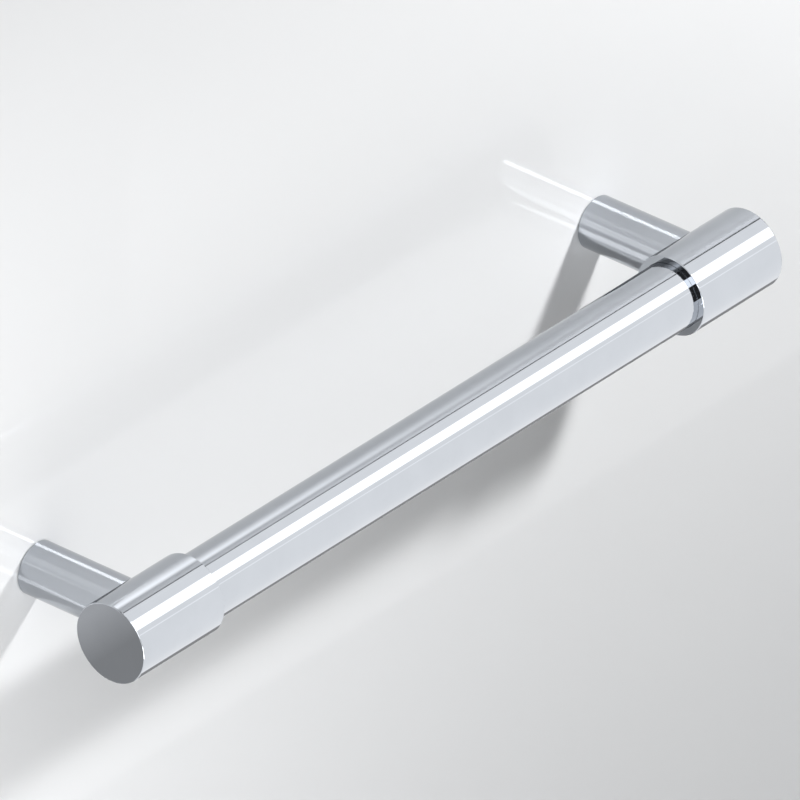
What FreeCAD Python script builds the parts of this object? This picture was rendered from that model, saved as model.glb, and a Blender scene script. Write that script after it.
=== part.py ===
import FreeCAD, Part
import math
import os

# Shower door handle: a round grip bar carried by two end sockets on posts and screwed through the glass.
# All lengths are in millimetres.
# X runs along the bar and Z is up.
# The front face of the door glass lies at Y = 0 and the handle stands off it towards -Y.
# X = 0 is midway between the posts and Z = 0 is the height of their axes.

# Layout on the door
POST_SPACING = 225.0
BAR_STANDOFF = 39.0
GLASS_THICKNESS = 8.0

# Grip bar, a drawn tube
TUBE_DIAMETER = 19.0
TUBE_WALL = 1.5
TUBE_END_PLAY = 0.25
TUBE_EDGE = 0.2

# End sockets, turned from rod with one closed end
SOCKET_DIAMETER = 23.0
SOCKET_LENGTH = 32.0
SOCKET_END_TO_POST = 16.0
SOCKET_END_WALL = 4.0
SOCKET_BORE_GAP = 0.05
SOCKET_OUTER_EDGE = 0.2
SOCKET_MOUTH_EDGE = 0.2

# Plugs that fill the ends of the tube and take the spigots of the posts
PLUG_PAST_POST = 10.0
PLUG_GAP = 0.05
PLUG_EDGE = 0.5

# Posts, each with a saddle that sits on its socket and a spigot that enters the plug
POST_DIAMETER = 15.0
POST_RIM_WIDTH = 1.5
POST_EDGE = 0.15
SPIGOT_DIAMETER = 10.0
SPIGOT_PAST_BAR_AXIS = 3.0
SPIGOT_EDGE = 0.5
SPIGOT_GAP = 0.05
SPIGOT_END_GAP = 0.2
SPIGOT_FLAT_DEPTH = 0.6
SPIGOT_FLAT_MARGIN = 1.0

# Grub screws, M5 with a flat point; threads are plain at their pitch diameter
GRUB_THREAD_DIAMETER = 4.48
GRUB_SUNK = 1.1
GRUB_KEY_WIDTH = 2.5
GRUB_KEY_DEPTH = 2.5
GRUB_EDGE = 0.4

# Fixing screws, M6 countersunk with a hexagon socket
SCREW_SHANK_DIAMETER = 6.0
SCREW_THREAD_DIAMETER = 5.35
SCREW_HEAD_DIAMETER = 12.0
SCREW_HEAD_RIM = 0.3
SCREW_LENGTH = 30.0
SCREW_KEY_WIDTH = 4.0
SCREW_KEY_DEPTH = 2.2
SCREW_POINT_EDGE = 0.7
THREAD_GAP = 0.03
TAPPED_PAST_SCREW = 1.5

# Clear gaskets on both faces of the glass and the clear sleeve in its hole
GASKET_THICKNESS = 1.0
FRONT_GASKET_PROUD = 0.1
FRONT_GASKET_GAP = 0.05
FRONT_GASKET_WIDTH = 1.45
REAR_GASKET_INSET = 1.0
REAR_GASKET_HOLE_GAP = 1.1
SLEEVE_WALL = 0.35
SLEEVE_GAP = 0.05

# Cup washers behind the glass, as thick as the screw head is high
WASHER_DIAMETER = 20.0
WASHER_EDGE = 1.2
WASHER_HOLE_GAP = 0.25
WASHER_RIM_GAP = 0.1

# How far a cutting tool runs past the face that it opens
CUT_PAST = 1.0

# Directions
UP = FreeCAD.Vector(0, 0, 1)
DOWN = FreeCAD.Vector(0, 0, -1)
TO_REAR = FreeCAD.Vector(0, 1, 0)
TO_FRONT = FreeCAD.Vector(0, -1, 0)
FULL_TURN = 360.0
HEXAGON_SIDES = 6

# Radii that several pieces share
TUBE_RADIUS = TUBE_DIAMETER / 2
TUBE_BORE_RADIUS = TUBE_RADIUS - TUBE_WALL
SOCKET_RADIUS = SOCKET_DIAMETER / 2
SOCKET_BORE_RADIUS = TUBE_RADIUS + SOCKET_BORE_GAP
PLUG_RADIUS = TUBE_BORE_RADIUS - PLUG_GAP
POST_RADIUS = POST_DIAMETER / 2
POST_RECESS_RADIUS = POST_RADIUS - POST_RIM_WIDTH
SPIGOT_RADIUS = SPIGOT_DIAMETER / 2
SPIGOT_HOLE_RADIUS = SPIGOT_RADIUS + SPIGOT_GAP
GRUB_RADIUS = GRUB_THREAD_DIAMETER / 2
GRUB_HOLE_RADIUS = GRUB_RADIUS + THREAD_GAP
SCREW_SHANK_RADIUS = SCREW_SHANK_DIAMETER / 2
SCREW_THREAD_RADIUS = SCREW_THREAD_DIAMETER / 2
SCREW_HEAD_RADIUS = SCREW_HEAD_DIAMETER / 2
TAPPED_RADIUS = SCREW_THREAD_RADIUS + THREAD_GAP
SLEEVE_BORE_RADIUS = SCREW_SHANK_RADIUS + SLEEVE_GAP
SLEEVE_RADIUS = SLEEVE_BORE_RADIUS + SLEEVE_WALL
FRONT_GASKET_RADIUS = POST_RECESS_RADIUS - FRONT_GASKET_GAP
FRONT_GASKET_HOLE_RADIUS = FRONT_GASKET_RADIUS - FRONT_GASKET_WIDTH
REAR_GASKET_HOLE_RADIUS = SLEEVE_RADIUS + REAR_GASKET_HOLE_GAP
WASHER_RADIUS = WASHER_DIAMETER / 2
REAR_GASKET_RADIUS = WASHER_RADIUS - REAR_GASKET_INSET
WASHER_HOLE_RADIUS = SCREW_SHANK_RADIUS + WASHER_HOLE_GAP

# Places along Y, from the bar to the back of the washers
BAR_Y = -BAR_STANDOFF
SPIGOT_END_Y = BAR_Y - SPIGOT_PAST_BAR_AXIS
POST_END_Y = -FRONT_GASKET_PROUD
POST_RECESS_Y = -GASKET_THICKNESS
REAR_GLASS_Y = GLASS_THICKNESS
WASHER_FRONT_Y = REAR_GLASS_Y + GASKET_THICKNESS
HEAD_CONE_HEIGHT = SCREW_HEAD_RADIUS - SCREW_SHANK_RADIUS
HEAD_RIM_Y = WASHER_FRONT_Y + HEAD_CONE_HEIGHT
WASHER_BACK_Y = HEAD_RIM_Y + SCREW_HEAD_RIM
SCREW_END_Y = WASHER_BACK_Y - SCREW_LENGTH

# Places along X and Z, the X ones measured from the middle of the handle
POST_X = POST_SPACING / 2
SOCKET_END_X = POST_X + SOCKET_END_TO_POST
SOCKET_FLOOR_X = SOCKET_END_X - SOCKET_END_WALL
TUBE_END_X = SOCKET_FLOOR_X - TUBE_END_PLAY
PLUG_INNER_X = POST_X - PLUG_PAST_POST
GRUB_TOP_Z = SPIGOT_FLAT_DEPTH - SPIGOT_RADIUS
GRUB_BOTTOM_Z = GRUB_SUNK - SOCKET_RADIUS


def rod(x, y, z, direction, length, radius):
    """Plain cylinder that starts at a point and runs along a direction."""
    return Part.makeCylinder(radius, length, FreeCAD.Vector(x, y, z), direction)


def turned(x, outline):
    """Solid turned about a post axis from pairs of place along Y and radius."""
    points = [FreeCAD.Vector(x + radius, y, 0) for y, radius in outline]
    face = Part.Face(Part.makePolygon(points + points[:1]))
    return face.revolve(FreeCAD.Vector(x, 0, 0), TO_REAR, FULL_TURN)


def hexagon_pocket(x, y, z, direction, width, depth):
    """Six-sided hole for a key, from its mouth along a direction."""
    corner_radius = width / (2 * math.cos(math.pi / HEXAGON_SIDES))
    across = FreeCAD.Vector(corner_radius, 0, 0)
    centre = FreeCAD.Vector(x, y, z)
    turn = FreeCAD.Rotation(direction, FULL_TURN / HEXAGON_SIDES)
    corners = []
    for _ in range(HEXAGON_SIDES):
        corners.append(centre + across)
        across = turn.multVec(across)
    face = Part.Face(Part.makePolygon(corners + corners[:1]))
    return face.extrude(direction * depth)


def circle_edges(shape, radius, direction, place):
    """Round edges of one radius whose plane crosses a direction at a place."""
    found = []
    for edge in shape.Edges:
        if not isinstance(edge.Curve, Part.Circle):
            continue
        right_size = math.isclose(edge.Curve.Radius, radius, abs_tol=1e-6)
        right_place = math.isclose(edge.Curve.Center.dot(direction), place, abs_tol=1e-6)
        if right_size and right_place:
            found.append(edge)
    return found


def spigot_hole(x, start_y):
    """Tool for the round hole of a post's spigot, from its inner end out past the back of the socket."""
    length = BAR_Y + SOCKET_RADIUS + CUT_PAST - start_y
    return rod(x, start_y, 0, TO_REAR, length, SPIGOT_HOLE_RADIUS)


def grub_hole(x):
    """Tool for the tapped hole that rises to the bar axis from below."""
    return rod(x, BAR_Y, 0, DOWN, SOCKET_RADIUS + CUT_PAST, GRUB_HOLE_RADIUS)


def make_grip_tube():
    """Round tube with a spigot hole and a grub screw hole near each end."""
    along = FreeCAD.Vector(1, 0, 0)
    length = 2 * TUBE_END_X
    tube = rod(-TUBE_END_X, BAR_Y, 0, along, length, TUBE_RADIUS)
    ends = circle_edges(tube, TUBE_RADIUS, along, -TUBE_END_X)
    ends += circle_edges(tube, TUBE_RADIUS, along, TUBE_END_X)
    tube = tube.makeChamfer(TUBE_EDGE, ends)
    tube = tube.cut(rod(-TUBE_END_X, BAR_Y, 0, along, length, TUBE_BORE_RADIUS))
    for x in (-POST_X, POST_X):
        tube = tube.cut(spigot_hole(x, BAR_Y))
        tube = tube.cut(grub_hole(x))
    return tube


def make_end_socket(side):
    """Thick cup over the end of the tube, closed at its outer end."""
    inward = FreeCAD.Vector(-side, 0, 0)
    socket = rod(side * SOCKET_END_X, BAR_Y, 0, inward, SOCKET_LENGTH, SOCKET_RADIUS)
    mouth = SOCKET_LENGTH - SOCKET_END_X
    rims = circle_edges(socket, SOCKET_RADIUS, inward, -SOCKET_END_X)
    rims += circle_edges(socket, SOCKET_RADIUS, inward, mouth)
    socket = socket.makeFillet(SOCKET_OUTER_EDGE, rims)
    bore_depth = SOCKET_LENGTH - SOCKET_END_WALL
    socket = socket.cut(rod(side * SOCKET_FLOOR_X, BAR_Y, 0, inward, bore_depth, SOCKET_BORE_RADIUS))
    socket = socket.makeChamfer(SOCKET_MOUTH_EDGE, circle_edges(socket, SOCKET_BORE_RADIUS, inward, mouth))
    socket = socket.cut(spigot_hole(side * POST_X, BAR_Y))
    return socket.cut(grub_hole(side * POST_X))


def make_tube_plug(side):
    """Solid filler in the end of the tube, bored across for the spigot and tapped from below."""
    inward = FreeCAD.Vector(-side, 0, 0)
    plug = rod(side * TUBE_END_X, BAR_Y, 0, inward, TUBE_END_X - PLUG_INNER_X, PLUG_RADIUS)
    ends = circle_edges(plug, PLUG_RADIUS, inward, -TUBE_END_X)
    ends += circle_edges(plug, PLUG_RADIUS, inward, -PLUG_INNER_X)
    plug = plug.makeChamfer(PLUG_EDGE, ends)
    plug = plug.cut(spigot_hole(side * POST_X, SPIGOT_END_Y - SPIGOT_END_GAP))
    return plug.cut(grub_hole(side * POST_X))


def make_post(x):
    """Round post with a saddle and spigot at the bar and a recess and tapped hole at the glass."""
    post = rod(x, BAR_Y, 0, TO_REAR, POST_END_Y - BAR_Y, POST_RADIUS)
    post = post.makeChamfer(POST_EDGE, circle_edges(post, POST_RADIUS, TO_REAR, POST_END_Y))
    along = FreeCAD.Vector(1, 0, 0)
    saddle = rod(x - POST_DIAMETER, BAR_Y, 0, along, 2 * POST_DIAMETER, SOCKET_RADIUS)
    post = post.cut(saddle)
    spigot_length = SPIGOT_PAST_BAR_AXIS + SOCKET_RADIUS + CUT_PAST
    spigot = rod(x, SPIGOT_END_Y, 0, TO_REAR, spigot_length, SPIGOT_RADIUS)
    spigot = spigot.makeChamfer(SPIGOT_EDGE, circle_edges(spigot, SPIGOT_RADIUS, TO_REAR, SPIGOT_END_Y))
    flat_length = SPIGOT_PAST_BAR_AXIS + GRUB_RADIUS + SPIGOT_FLAT_MARGIN
    flat_corner = FreeCAD.Vector(x - SPIGOT_RADIUS, SPIGOT_END_Y, -SPIGOT_RADIUS)
    spigot = spigot.cut(Part.makeBox(SPIGOT_DIAMETER, flat_length, SPIGOT_FLAT_DEPTH, flat_corner))
    post = post.fuse(spigot).removeSplitter()
    post = post.cut(rod(x, POST_RECESS_Y, 0, TO_REAR, -POST_RECESS_Y, POST_RECESS_RADIUS))
    tapped_depth = POST_RECESS_Y - SCREW_END_Y + TAPPED_PAST_SCREW
    return post.cut(rod(x, POST_RECESS_Y, 0, TO_FRONT, tapped_depth, TAPPED_RADIUS))


def make_grub_screw(x):
    """Headless screw under the socket that bears on the flat of the spigot."""
    screw = rod(x, BAR_Y, GRUB_BOTTOM_Z, UP, GRUB_TOP_Z - GRUB_BOTTOM_Z, GRUB_RADIUS)
    screw = screw.makeChamfer(GRUB_EDGE, circle_edges(screw, GRUB_RADIUS, UP, GRUB_TOP_Z))
    return screw.cut(hexagon_pocket(x, BAR_Y, GRUB_BOTTOM_Z, UP, GRUB_KEY_WIDTH, GRUB_KEY_DEPTH))


def make_ring(x, front_y, thickness, outer_radius, hole_radius):
    """Flat ring or short tube about a post axis."""
    ring = rod(x, front_y, 0, TO_REAR, thickness, outer_radius)
    return ring.cut(rod(x, front_y, 0, TO_REAR, thickness, hole_radius))


def make_front_gasket(x):
    """Clear ring in the recess of the post, a little proud of its rim."""
    return make_ring(x, POST_RECESS_Y, GASKET_THICKNESS, FRONT_GASKET_RADIUS, FRONT_GASKET_HOLE_RADIUS)


def make_glass_sleeve(x):
    """Clear tube that keeps the screw off the glass."""
    return make_ring(x, 0, GLASS_THICKNESS, SLEEVE_RADIUS, SLEEVE_BORE_RADIUS)


def make_rear_gasket(x):
    """Clear ring between the glass and the cup washer."""
    return make_ring(x, REAR_GLASS_Y, GASKET_THICKNESS, REAR_GASKET_RADIUS, REAR_GASKET_HOLE_RADIUS)


def make_cup_washer(x):
    """Round washer with a rounded rim and a countersunk hole for the screw head."""
    washer = rod(x, WASHER_FRONT_Y, 0, TO_REAR, WASHER_BACK_Y - WASHER_FRONT_Y, WASHER_RADIUS)
    washer = washer.makeFillet(WASHER_EDGE, circle_edges(washer, WASHER_RADIUS, TO_REAR, WASHER_BACK_Y))
    rim_radius = SCREW_HEAD_RADIUS + WASHER_RIM_GAP
    hole_outline = [
        (WASHER_FRONT_Y, 0),
        (WASHER_FRONT_Y, WASHER_HOLE_RADIUS),
        (WASHER_FRONT_Y + WASHER_HOLE_GAP, WASHER_HOLE_RADIUS),
        (HEAD_RIM_Y, SCREW_HEAD_RADIUS),
        (HEAD_RIM_Y, rim_radius),
        (WASHER_BACK_Y, rim_radius),
        (WASHER_BACK_Y, 0),
    ]
    return washer.cut(turned(x, hole_outline))


def make_fixing_screw(x):
    """Countersunk screw from behind the washer, through the glass gap and into the post."""
    point_radius = SCREW_THREAD_RADIUS - SCREW_POINT_EDGE
    outline = [
        (SCREW_END_Y, 0),
        (SCREW_END_Y, point_radius),
        (SCREW_END_Y + SCREW_POINT_EDGE, SCREW_THREAD_RADIUS),
        (POST_RECESS_Y, SCREW_THREAD_RADIUS),
        (POST_RECESS_Y, SCREW_SHANK_RADIUS),
        (WASHER_FRONT_Y, SCREW_SHANK_RADIUS),
        (HEAD_RIM_Y, SCREW_HEAD_RADIUS),
        (WASHER_BACK_Y, SCREW_HEAD_RADIUS),
        (WASHER_BACK_Y, 0),
    ]
    screw = turned(x, outline)
    return screw.cut(hexagon_pocket(x, WASHER_BACK_Y, 0, TO_FRONT, SCREW_KEY_WIDTH, SCREW_KEY_DEPTH))


def save(name, shape):
    """Check that a piece is one sound solid and write its file."""
    if not shape.isValid() or len(shape.Solids) != 1:
        raise ValueError(f"{name} is not one sound solid")
    shape.Solids[0].exportStep(f"parts/{name}.step")
    print(f"{name:22s} {shape.Volume / 1000:8.3f} cm3")


def main():
    """Build every piece in its place and write it."""
    os.makedirs("parts", exist_ok=True)
    save("grip_tube", make_grip_tube())
    for name, side in (("left", -1), ("right", 1)):
        x = side * POST_X
        save(f"{name}_end_socket", make_end_socket(side))
        save(f"{name}_tube_plug", make_tube_plug(side))
        save(f"{name}_post", make_post(x))
        save(f"{name}_grub_screw", make_grub_screw(x))
        save(f"{name}_front_gasket", make_front_gasket(x))
        save(f"{name}_glass_sleeve", make_glass_sleeve(x))
        save(f"{name}_rear_gasket", make_rear_gasket(x))
        save(f"{name}_cup_washer", make_cup_washer(x))
        save(f"{name}_fixing_screw", make_fixing_screw(x))


main()
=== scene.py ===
import math

import bmesh
import bpy
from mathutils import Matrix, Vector


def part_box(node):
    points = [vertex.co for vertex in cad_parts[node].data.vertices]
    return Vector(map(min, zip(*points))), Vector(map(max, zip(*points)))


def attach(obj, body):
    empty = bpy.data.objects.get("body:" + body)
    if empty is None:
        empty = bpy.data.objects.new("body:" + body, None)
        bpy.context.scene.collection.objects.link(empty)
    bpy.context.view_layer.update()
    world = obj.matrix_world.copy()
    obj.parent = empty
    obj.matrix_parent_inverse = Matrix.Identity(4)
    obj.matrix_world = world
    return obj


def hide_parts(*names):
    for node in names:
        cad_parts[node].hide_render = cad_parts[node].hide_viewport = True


bl_info = {
    "name": "Shower Door Handle",
    "version": (1, 0, 0),
    "blender": (4, 5, 0),
    "location": "View3D > Sidebar > Handle",
    "description": "Dresses a chrome shower door handle with its glass fixings and sets its stage",
    "category": "Object",
}

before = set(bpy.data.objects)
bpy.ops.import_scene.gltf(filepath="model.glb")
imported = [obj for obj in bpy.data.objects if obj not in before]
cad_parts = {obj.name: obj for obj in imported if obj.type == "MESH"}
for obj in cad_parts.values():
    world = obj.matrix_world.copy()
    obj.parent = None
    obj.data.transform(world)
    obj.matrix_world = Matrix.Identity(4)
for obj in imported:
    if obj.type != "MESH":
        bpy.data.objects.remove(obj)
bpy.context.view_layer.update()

# The frame is in metres and the sizes below are in millimetres
MM = 0.001
X, Y, Z = range(3)
BODY = "root"
SIDES = {"left": -1, "right": 1}


def span(node, axis):
    """Where a solid of the frame starts and ends along one axis."""
    low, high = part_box(node)
    return low[axis], high[axis]


def half_width(node, axis):
    """Radius of a round solid, read across one axis."""
    start, end = span(node, axis)
    return (end - start) / 2


# Places and radii that the frame gives
BAR_Y = sum(span("grip_tube", Y)) / 2
TUBE_END = span("grip_tube", X)[1]
TUBE_RADIUS = half_width("grip_tube", Z)
PLUG_RADIUS = half_width("right_tube_plug", Z)
SOCKET_MOUTH, SOCKET_END = span("right_end_socket", X)
SOCKET_RADIUS = half_width("right_end_socket", Z)
POST_X = sum(span("right_post", X)) / 2
SPIGOT_END, POST_RIM = span("right_post", Y)
POST_RADIUS = half_width("right_post", X)
GRUB_BOTTOM, GRUB_TOP = span("right_grub_screw", Z)
GRUB_RADIUS = half_width("right_grub_screw", X)
RECESS_FLOOR, GLASS_FRONT = span("right_front_gasket", Y)
GLASS_REAR, WASHER_FRONT = span("right_rear_gasket", Y)
WASHER_BACK = span("right_cup_washer", Y)[1]
WASHER_RADIUS = half_width("right_cup_washer", X)
SCREW_POINT = span("right_fixing_screw", Y)[0]
HEAD_RADIUS = half_width("right_fixing_screw", X)

# Fineness of the turned meshes: columns divide by six so that key sockets get true corners
FINE_COLUMNS = 192
PLAIN_COLUMNS = 96
THREAD_COLUMNS = 72
ARC_STEPS = 6
SADDLE_STEPS = 4
ROWS_PER_THREAD = 10
SHARP_ANGLE = math.radians(34)
MERGE_DISTANCE = 1e-7
HEXAGON_STEP = math.pi / 3
CUT_PAST = 1.0 * MM

# The photograph's view: where the camera stands, and where the middle of its frame lies from the bar's middle
VIEW_AZIMUTH = math.radians(-49.70)
VIEW_ELEVATION = math.radians(31.65)
VIEW_DISTANCE = 9.249
VIEW_LEFT = 8.43 * MM
VIEW_ABOVE = 11.35 * MM
VIEW_LENS = 1600.0
VIEW_SENSOR = 36.0

# Lamps that only light: where each stands and how large it is
KEY_PLACE = (0.385, -0.373, 0.404)
KEY_AIM = (0.12, -0.12, -0.45)
KEY_SIZE = (0.082, 0.064)
FILL_PLACE = (-0.145, -0.125, -0.02)
FILL_SIZE = (0.30, 0.50)

# Cards close to the panel that only metal mirrors, each as left, right, bottom and top: past the left end for the end
# cap, below the bar for its dark lower edge, and above its left half for its soft upper streak. The first two are
# painted shade, the third a painted reflection
WALL_CARD_GAP = 0.5 * MM
END_CARD = (-0.40, -0.155, -0.30, -0.018)
END_CARD_FADE = (-0.040, -0.024)
LOW_CARD = (-0.10, 0.45, -0.44, -0.08)
LOW_CARD_FADE = (-0.40, -0.10)
STREAK_CARD = (-0.075, 0.25, 0.02, 0.15)
STREAK_HEIGHT = 0.083
STREAK_HALF = 0.050
STREAK_FADE = (-0.06, 0.13)

# Ring of dark cloth far out on the left, in metal only
FLAG_X = -1.4
FLAG_INNER = 1.4
FLAG_OUTER = 2.2

# The panel: its roughness, the most it mirrors at low angles, the most that the camera sees of that, and
# how light it looks in the metal, and in metal that metal mirrors, against how light it looks to the camera. The last
# two are painted shade: they darken the paint's colour in reflections, not the lamps
PANEL_ROUGHNESS = 0.045
PANEL_GLOSS = 0.20
PANEL_GLOSS_SEEN = 0.04
PANEL_PAINTED_SHADE_IN_METAL = 0.85
PANEL_PAINTED_SHADE_MIRRORED_TWICE = 0.35
PANEL_TOP = 0.9
FLOOR_GLOW = 0.85

# Cards that only metal and glass show. The posts see theirs by way of the glossy wall.
POST_CARD_PLACE = (0.576, -0.660, 0.820)
POST_CARD_SIZE = (0.19, 0.34)
UPPER_SIDE_PLACE = (-0.597, -0.500, 0.255)
UPPER_SIDE_SIZE = (0.16, 0.30)
LOWER_SIDE_PLACE = (-0.597, -0.500, -0.255)
LOWER_SIDE_SIZE = (0.26, 0.30)

# A straight bar mirrors, in this view, what lies this far to the right for each length that it lies away.
# Its cards are angles about the bar, from level in front up to overhead, at one distance.
MIRROR_SLANT = 0.853
CARD_DISTANCE = 1.2
BAR_STRIPE_RISE = math.radians(48.5)
BAR_STRIPE_SPREAD = math.radians(27.0)
BAR_STRIPE_LENGTH = 1.7
BAR_STRIPE_SHIFT = 0.45
RIM_STRIPE_LENGTH = 0.9
RIM_STRIPE_SHIFT = -0.85
THIN_STRIPE_RISE = math.radians(21.0)
THIN_STRIPE_SPREAD = math.radians(2.0)
THIN_STRIPE_LENGTH = 0.40


def linear(hex_colour, alpha=1.0):
    """Scene colour of an sRGB hex value."""
    channels = []
    for start in (1, 3, 5):
        value = int(hex_colour[start:start + 2], 16) / 255
        value = value / 12.92 if value <= 0.04045 else ((value + 0.055) / 1.055) ** 2.4
        channels.append(value)
    return (*channels, alpha)


def size_property(name, description, millimetres):
    """A length that the user can change, stored in metres."""
    return bpy.props.FloatProperty(
        name=name, description=description, default=millimetres * MM, min=0.0, unit="LENGTH", precision=5
    )


def colour_property(name, description, hex_colour):
    """A colour that the user can change."""
    return bpy.props.FloatVectorProperty(
        name=name, description=description, default=linear(hex_colour), size=4, min=0.0, max=1.0, subtype="COLOR"
    )


def power_property(name, description, watts):
    """A lamp's power that the user can change."""
    return bpy.props.FloatProperty(name=name, description=description, default=watts, min=0.0, unit="POWER")


def level_property(name, description, level):
    """A brightness that the user can change, where 1 is white."""
    return bpy.props.FloatProperty(name=name, description=description, default=level, min=0.0)


class HandleSizes(bpy.types.PropertyGroup):
    """Sizes of the handle that its outer boxes don't give."""

    tube_wall: size_property("Tube wall", "Thickness of the grip tube's wall", 1.5)
    tube_edge: size_property("Tube edge", "Rounding of the grip tube's ends", 0.2)
    fit_gap: size_property("Fit gap", "Play between a turned piece and its bore", 0.05)
    socket_edge: size_property("Socket edge", "Rounding of the sockets' outer rims", 0.3)
    socket_mouth_edge: size_property("Socket mouth edge", "Rounding of the sockets' bore at the mouth", 0.05)
    socket_end_wall: size_property("Socket end wall", "Thickness of the sockets' closed end", 4.0)
    post_edge: size_property("Post edge", "Rounding of the posts' rim at the glass", 0.15)
    post_rim: size_property("Post rim", "Width of the posts' rim around the gasket", 1.5)
    spigot_radius: size_property("Spigot radius", "Radius of the posts' spigots", 5.0)
    spigot_edge: size_property("Spigot edge", "Rounding of the spigots' ends", 0.5)
    tapped_past: size_property("Tapped past screw", "Depth of the tapped holes past the screw point", 1.5)
    thread_gap: size_property("Thread gap", "Play between a screw and its tapped hole", 0.03)
    screw_shank: size_property("Screw shank", "Radius of the fixing screws' shanks", 3.0)
    screw_thread: size_property("Screw thread", "Middle radius of the fixing screws' threads", 2.675)
    screw_point_edge: size_property("Screw point edge", "Bevel of the fixing screws' points", 0.7)
    screw_rim: size_property("Screw head rim", "Height of the rim of the fixing screws' heads", 0.3)
    screw_key: size_property("Screw key", "Width across flats of the fixing screws' key sockets", 4.0)
    screw_key_depth: size_property("Screw key depth", "Depth of the fixing screws' key sockets", 2.2)
    grub_key: size_property("Grub key", "Width across flats of the grub screws' key sockets", 2.5)
    grub_key_depth: size_property("Grub key depth", "Depth of the grub screws' key sockets", 2.5)
    grub_edge: size_property("Grub edge", "Bevel of the grub screws' ends", 0.4)
    key_edge: size_property("Key socket edge", "Rounding at the mouth of the key sockets", 0.08)
    screw_pitch: size_property("Screw pitch", "Thread pitch of the fixing screws", 1.0)
    grub_pitch: size_property("Grub pitch", "Thread pitch of the grub screws", 0.8)
    washer_edge: size_property("Washer edge", "Rounding of the cup washers' rear edge", 1.2)
    washer_play: size_property("Washer play", "Play around the screw shank in the washers", 0.25)
    washer_rim_gap: size_property("Washer rim gap", "Play around the screw head in the washers", 0.1)
    gasket_width: size_property("Gasket width", "Width of the front gaskets' ring", 1.45)
    rear_hole_gap: size_property("Rear gasket gap", "Play between the sleeves and the rear gaskets", 1.1)
    sleeve_wall: size_property("Sleeve wall", "Thickness of the sleeves in the glass", 0.35)
    vinyl_edge: size_property("Vinyl edge", "Rounding of the edges of gaskets and sleeves", 0.06)
    small_edge: size_property("Small edge", "Rounding that takes the sharpness off inner edges", 0.1)


class HandleColours(bpy.types.PropertyGroup):
    """Colours of the handle's finishes and its stage."""

    chrome_light: colour_property("Chrome, clear", "Chromium plate where its buffing is clean", "#BFC3C9")
    chrome_hazed: colour_property("Chrome, hazed", "Chromium plate under the faint haze of buffing", "#BCC0C6")
    brass_light: colour_property("Brass, cut", "Freshly turned brass", "#D9BE7C")
    brass_dark: colour_property("Brass, dulled", "Brass between the tool's cuts", "#B7954F")
    steel_light: colour_property("Steel, rubbed", "Stainless steel where keys and hands rub it", "#C3C1BC")
    steel_dark: colour_property("Steel, plain", "Stainless steel as it comes from heading", "#B3B1AC")
    vinyl: colour_property("Vinyl", "Clear vinyl, slightly milky", "#EEF3F4")
    wall: colour_property("Wall", "Gloss panel behind the handle", "#E9EAEB")
    floor: colour_property("Floor", "Plain pale floor", "#E4E5E6")
    sky: colour_property("Surround", "Pale surround that metal mirrors", "#FFFFFF")


class HandleLights(bpy.types.PropertyGroup):
    """Strengths of the stage's lights."""

    key: power_property("Key", "Power of the small key lamp, high on the right", 4.85)
    fill: power_property("Fill", "Power of the wide soft lamp on the left", 0.52)
    room: level_property("Room", "Level of the room's soft light on matt faces", 0.0)
    mirrored_room: level_property("Mirrored room", "Level of the surround that metal mirrors", 1.25)
    dark_side: level_property("Dark side", "Level of the dark flag on the left", 0.05)
    end_card_low: level_property("End card, low", "Level at the foot of what the end cap mirrors", 0.37)
    end_card_high: level_property("End card, high", "Level at the top of what the end cap mirrors", 0.62)
    low_card_low: level_property("Low card, low", "Level at the foot of what the bar's lower edge mirrors", 0.48)
    low_card_high: level_property("Low card, high", "Level at the top of what the bar's lower edge mirrors", 0.30)
    streak: level_property("Streak", "Level of the soft streak along the top of the bar's left half", 1.8)
    bar_stripe: level_property("Bar stripe", "Level that the broad stripe card adds to the surround", 1.0)
    rim_stripe: level_property("Rim stripe", "Level of the strip that the sockets' mouths mirror", 2.8)
    thin_stripe: level_property("Thin stripe", "Level that the thin stripe card adds to the surround", 0.35)
    post_stripe: level_property("Post stripe", "Level of the card that the posts show by way of the wall", 16.0)
    upper_side: level_property("Upper side stripe", "Level of the upper card on the left", 4.8)
    lower_side: level_property("Lower side stripe", "Level of the lower card on the left", 7.0)


def add_node(tree, kind, inputs=None, **settings):
    """Adds a node, applies its settings, and fills each input with a value or a link."""
    node = tree.nodes.new(kind)
    for name, value in settings.items():
        setattr(node, name, value)
    for socket, value in (inputs or {}).items():
        if isinstance(value, bpy.types.NodeSocket):
            tree.links.new(value, node.inputs[socket])
        else:
            node.inputs[socket].default_value = value
    return node


def new_material(name):
    """An empty node material and its tree."""
    material = bpy.data.materials.new(name)
    material.use_nodes = True
    material.node_tree.nodes.clear()
    return material, material.node_tree


def speckle(tree, millimetres, detail=2.0, stretch=(1.0, 1.0, 1.0)):
    """Noise over the object's own place whose grains measure about the given size."""
    place = add_node(tree, "ShaderNodeTexCoord").outputs["Object"]
    scaled = add_node(tree, "ShaderNodeVectorMath", {0: place, 1: stretch}, operation="MULTIPLY").outputs[0]
    noise = add_node(tree, "ShaderNodeTexNoise", {"Vector": scaled, "Scale": 1 / (millimetres * MM), "Detail": detail})
    return noise.outputs["Fac"]


def ranged(tree, value, low, high, start=0.3, end=0.7):
    """A noise value stretched to a range."""
    inputs = {"Value": value, "From Min": start, "From Max": end, "To Min": low, "To Max": high}
    return add_node(tree, "ShaderNodeMapRange", inputs).outputs["Result"]


def blended(tree, factor, first, second):
    """Two colours mixed by a factor."""
    inputs = {"Factor": factor, "A": tuple(first), "B": tuple(second)}
    mix = add_node(tree, "ShaderNodeMix", inputs={}, data_type="RGBA")
    tree.links.new(inputs["Factor"], mix.inputs[0])
    mix.inputs[6].default_value = inputs["A"]
    mix.inputs[7].default_value = inputs["B"]
    return mix.outputs[2]


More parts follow.
